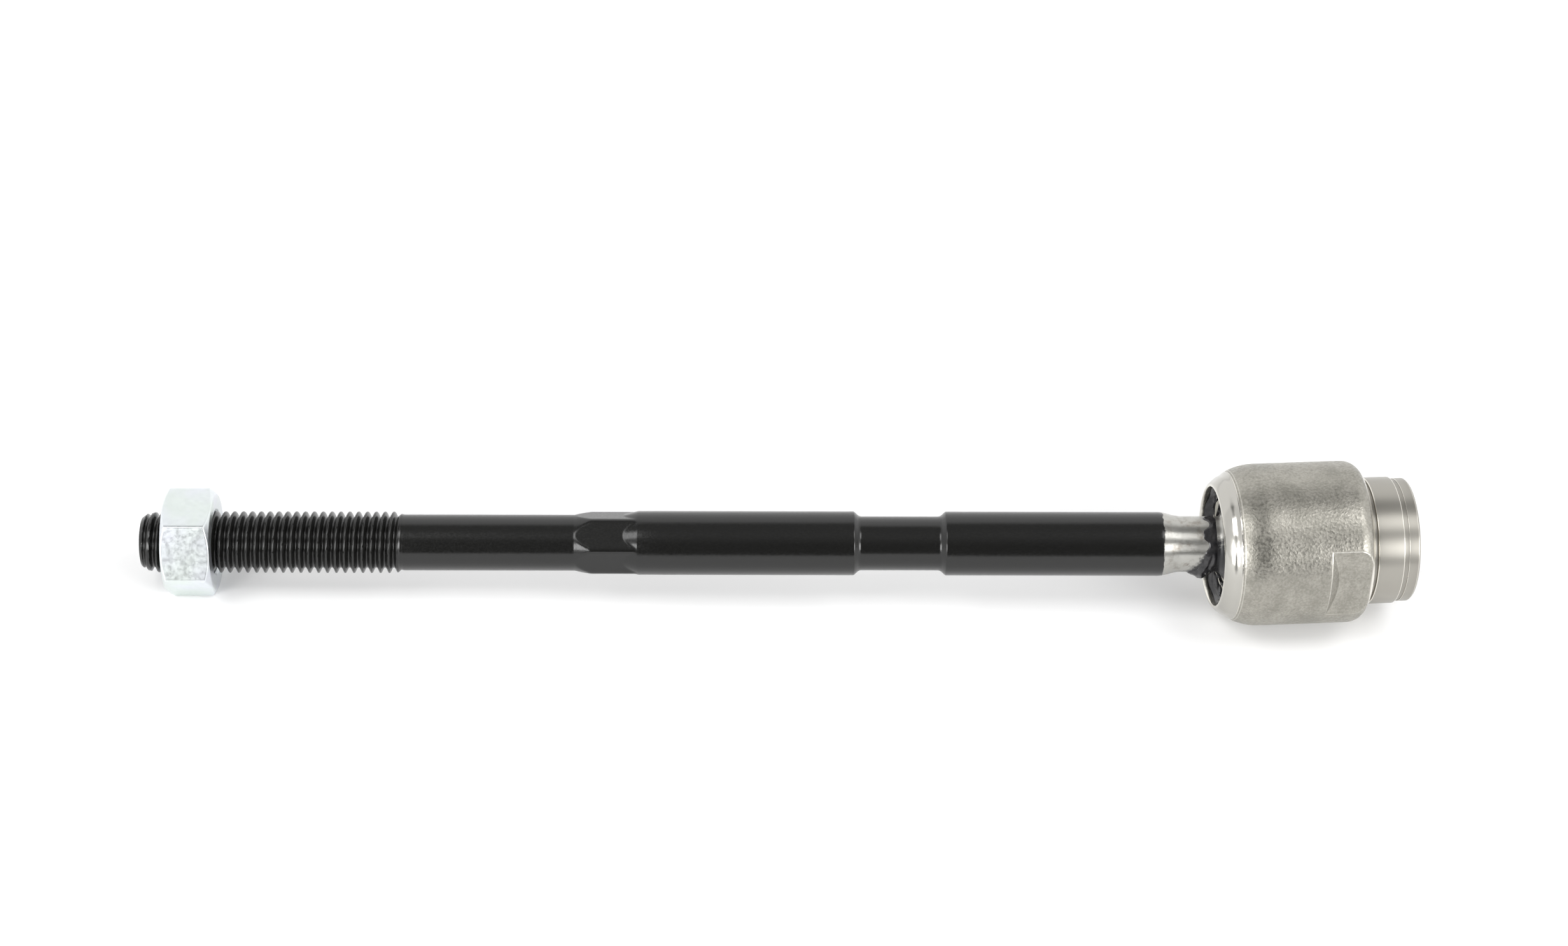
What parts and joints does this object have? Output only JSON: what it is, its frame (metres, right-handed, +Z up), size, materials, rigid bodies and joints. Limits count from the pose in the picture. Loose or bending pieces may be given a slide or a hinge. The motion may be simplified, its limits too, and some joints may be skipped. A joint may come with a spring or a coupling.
{
  "type": "inner tie rod",
  "caption": "Inner tie rod: a ball-ended steel rod in a swaged socket housing that screws onto a steering rack, with a threaded outer end and a jam nut.",
  "frame": {"origin": "centre of the collar's floor, the flat face that the rack's shoulder seats on, on the axis of the rack thread", "axes": "+X along the rack thread, out of the housing towards the rack; +Z up as the part lies on its side; the rod leaves towards -X, turned 4.7 degrees towards +Y and sloping 1.7 degrees down to its jam nut"},
  "size_m": [0.2855, 0.0512, 0.0366],
  "materials": {
    "forged_steel": "satin forged steel, turned on the nose and the hub",
    "acetal": "moulded acetal",
    "spring_steel": "oiled spring steel",
    "black_coated_steel": "gloss black coating; the neck and the ball are bare steel",
    "zinc_plated_steel": "bright zinc plating"
  },
  "bodies": {
    "housing": {"housing": "forged_steel", "preload_spring": "spring_steel"},
    "ball_seat": {"ball_seat": "acetal"},
    "tie_rod": {"tie_rod": "black_coated_steel"},
    "jam_nut": {"jam_nut": "zinc_plated_steel"}
  },
  "joints": [
    {"name": "swing_direction", "type": "hinge", "parent": "housing", "child": "ball_seat", "pos_m": [-0.0293, 0, 0], "axis": [1, 0, 0], "continuous": true},
    {"name": "swing", "type": "hinge", "parent": "ball_seat", "child": "tie_rod", "pos_m": [-0.0293, 0, 0], "axis": [0, -0.3387, -0.9409], "range_deg": [-32, 22]},
    {"name": "nut_travel", "type": "slide", "parent": "tie_rod", "child": "jam_nut", "axis": [0.9962, -0.0819, 0.0295], "range_m": [-0.0055, 0.04]}
  ]
}
